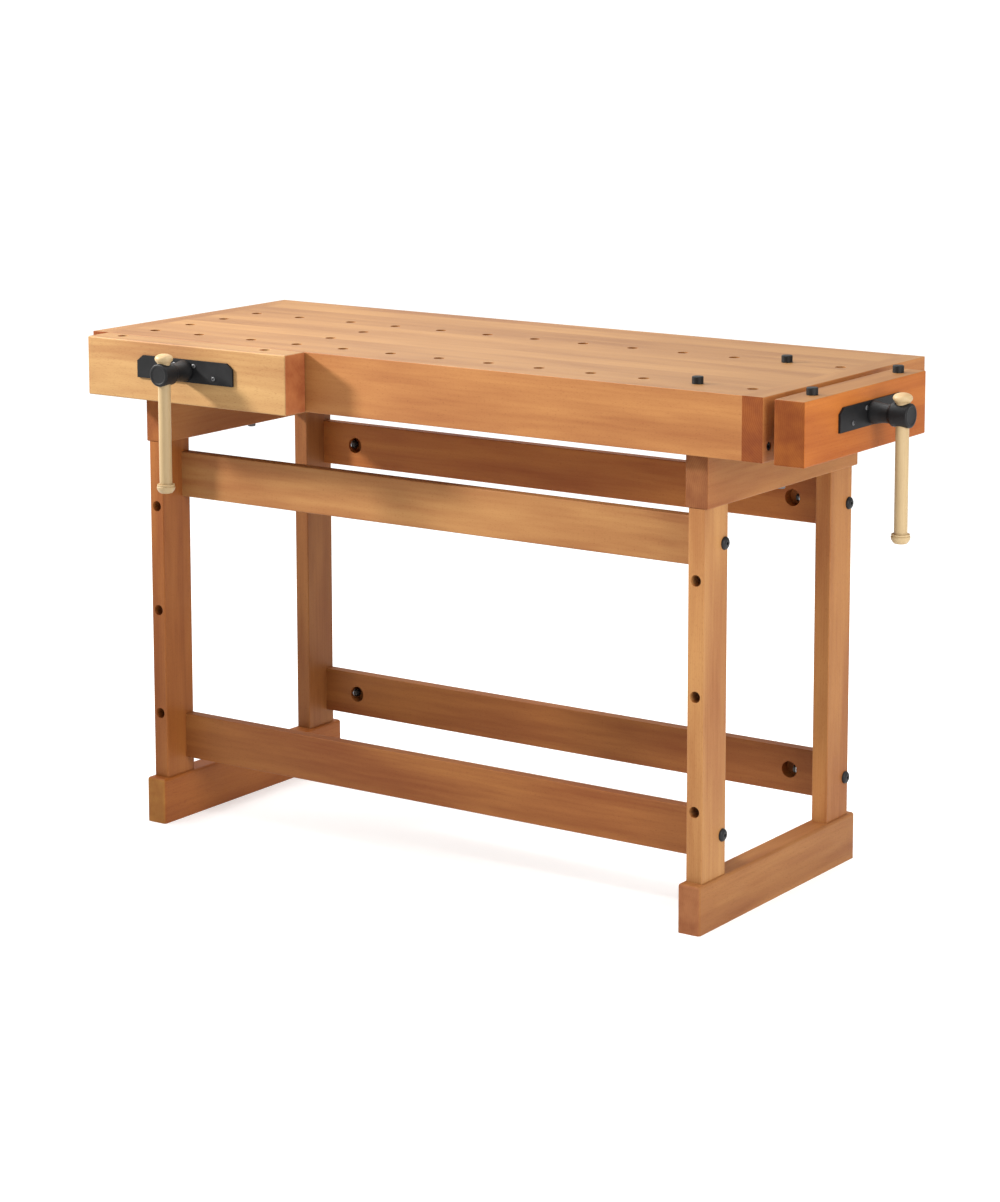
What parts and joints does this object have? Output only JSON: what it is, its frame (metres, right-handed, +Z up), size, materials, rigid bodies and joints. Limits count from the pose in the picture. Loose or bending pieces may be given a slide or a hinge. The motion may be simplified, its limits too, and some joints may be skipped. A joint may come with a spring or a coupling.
{
  "type": "woodworking bench",
  "caption": "Beech woodworking bench on an open trestle base, with a holed top, a front vise, an end vise, black bench dogs and screwed handle bars.",
  "frame": {"origin": "on the floor, below the middle of the whole bench with both vises as stored", "axes": "+X along the bench towards the end vise, +Y from the front vise to the back, +Z up"},
  "size_m": [1.5454, 0.6786, 0.912],
  "materials": {
    "top_beech": "oiled beech, glued strips running along the bench",
    "apron_beech": "oiled beech",
    "cap_beech": "oiled beech",
    "jaw_beech": "oiled beech, a little paler than the top",
    "base_beech": "oiled beech",
    "batten_beech": "plain beech",
    "bar_birch": "pale turned hardwood, thin lacquer",
    "dowel_beech": "fluted beech dowel",
    "black_iron": "cast, painted satin black",
    "black_plate": "satin black",
    "black_steel": "blackened, satin",
    "bright_steel": "plain zinc-plated steel",
    "rod_steel": "drawn steel, lightly oiled",
    "dog_black": "moulded, black",
    "spring_steel": "spring strip"
  },
  "bodies": {
    "bench": {"top_panel": "top_beech", "front_apron": "apron_beech", "back_apron": "apron_beech", "end_cap_left": "cap_beech", "end_cap_right": "cap_beech", "cross_batten_left": "batten_beech", "cross_batten_right": "batten_beech", "cap_bolts": "black_steel", "cap_cross_nuts": "bright_steel", "foot_left": "base_beech", "foot_right": "base_beech", "bearer_left": "base_beech", "bearer_right": "base_beech", "leg_front_left": "base_beech", "leg_front_right": "base_beech", "leg_back_left": "base_beech", "leg_back_right": "base_beech", "stretcher_front_upper": "base_beech", "stretcher_front_lower": "base_beech", "stretcher_back_upper": "base_beech", "stretcher_back_lower": "base_beech", "stretcher_bolts": "black_steel", "stretcher_washers": "bright_steel", "stretcher_nuts": "bright_steel", "stretcher_dowels": "dowel_beech", "bearer_bolts": "bright_steel", "bearer_washers": "bright_steel", "bearer_dowels": "dowel_beech", "front_vise_bracket": "black_iron", "front_bracket_screws": "bright_steel", "end_vise_bracket": "black_iron", "end_bracket_screws": "bright_steel"},
    "front_vise_jaw": {"front_jaw": "jaw_beech", "front_vise_plate": "black_plate", "front_plate_screws": "black_steel", "front_guide_rod_left": "rod_steel", "front_guide_rod_right": "rod_steel"},
    "front_vise_screw": {"front_lead_screw": "rod_steel", "front_screw_collar": "bright_steel", "front_hub": "black_iron"},
    "front_vise_bar": {"front_bar": "bar_birch", "front_bar_knobs": "bar_birch"},
    "end_vise_jaw": {"end_jaw": "jaw_beech", "end_vise_plate": "black_plate", "end_plate_screws": "black_steel", "end_guide_rod_front": "rod_steel", "end_guide_rod_back": "rod_steel"},
    "end_vise_screw": {"end_lead_screw": "rod_steel", "end_screw_collar": "bright_steel", "end_hub": "black_iron"},
    "end_vise_bar": {"end_bar": "bar_birch", "end_bar_knobs": "bar_birch"},
    "top_dog_front": {"dog_front": "dog_black", "dog_front_spring": "spring_steel"},
    "top_dog_back": {"dog_back": "dog_black", "dog_back_spring": "spring_steel"},
    "end_dog_front": {"jaw_dog_front": "dog_black", "jaw_dog_front_spring": "spring_steel"},
    "end_dog_back": {"jaw_dog_back": "dog_black", "jaw_dog_back_spring": "spring_steel"}
  },
  "joints": [
    {"name": "front_jaw_slide", "type": "slide", "parent": "bench", "child": "front_vise_jaw", "axis": [0, -1, 0], "range_m": [0, 0.15]},
    {"name": "front_screw_turn", "type": "hinge", "parent": "front_vise_jaw", "child": "front_vise_screw", "pos_m": [-0.50815, -0.266, 0.856], "axis": [0, -1, 0], "range_deg": [0, 10800]},
    {"name": "front_bar_slide", "type": "slide", "parent": "front_vise_screw", "child": "front_vise_bar", "axis": [0, 0, 1], "range_m": [0, 0.1724]},
    {"name": "end_jaw_slide", "type": "slide", "parent": "bench", "child": "end_vise_jaw", "axis": [1, 0, 0], "range_m": [-0.0217, 0.128]},
    {"name": "end_screw_turn", "type": "hinge", "parent": "end_vise_jaw", "child": "end_vise_screw", "pos_m": [0.69935, 0.0013, 0.856], "axis": [1, 0, 0], "range_deg": [-1560, 9215]},
    {"name": "end_bar_slide", "type": "slide", "parent": "end_vise_screw", "child": "end_vise_bar", "axis": [0, 0, 1], "range_m": [0, 0.1724]},
    {"name": "top_dog_front_slide", "type": "slide", "parent": "bench", "child": "top_dog_front", "axis": [0, 0, 1], "range_m": [-0.012, 0.03]},
    {"name": "top_dog_back_slide", "type": "slide", "parent": "bench", "child": "top_dog_back", "axis": [0, 0, 1], "range_m": [-0.012, 0.03]},
    {"name": "end_dog_front_slide", "type": "slide", "parent": "end_vise_jaw", "child": "end_dog_front", "axis": [0, 0, 1], "range_m": [-0.012, 0.03]},
    {"name": "end_dog_back_slide", "type": "slide", "parent": "end_vise_jaw", "child": "end_dog_back", "axis": [0, 0, 1], "range_m": [-0.012, 0.03]}
  ],
  "couplings": [
    {"joint": "front_jaw_slide", "follows": "front_screw_turn", "m_per_rad": 0.00079577},
    {"joint": "end_jaw_slide", "follows": "end_screw_turn", "m_per_rad": 0.00079577}
  ]
}
